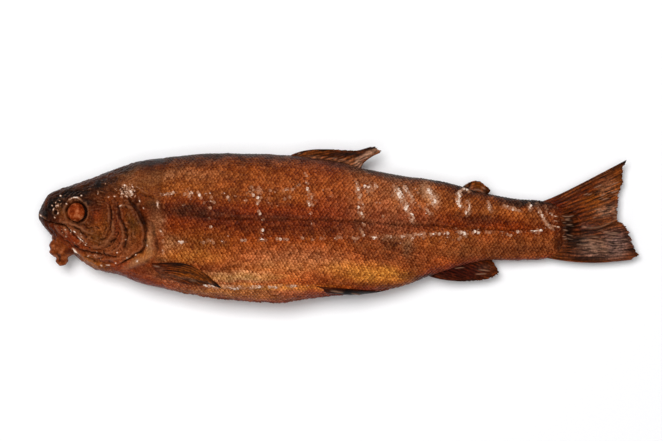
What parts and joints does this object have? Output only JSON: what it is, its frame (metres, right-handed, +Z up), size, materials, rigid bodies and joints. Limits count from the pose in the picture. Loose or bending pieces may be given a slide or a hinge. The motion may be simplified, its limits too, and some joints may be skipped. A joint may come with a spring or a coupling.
{
  "type": "smoked fish",
  "caption": "Whole gutted smoked trout lying on its side, with head, fins and tail, bronze skin wrinkled from the smoke.",
  "frame": {"origin": "middle of the fish's outline, on the surface that it lies on", "axes": "+X from the snout to the tail, +Y from the belly to the back, +Z up out of the left flank"},
  "size_m": [0.3998, 0.1014, 0.0437],
  "materials": {
    "smoked_skin": "oily satin, gold brown on the belly and near black on the snout",
    "cooked_eye": "dull orange brown, clouded"
  },
  "bodies": {
    "root": {"fish": "smoked_skin", "eye_left": "cooked_eye", "eye_right": "cooked_eye"}
  },
  "joints": []
}
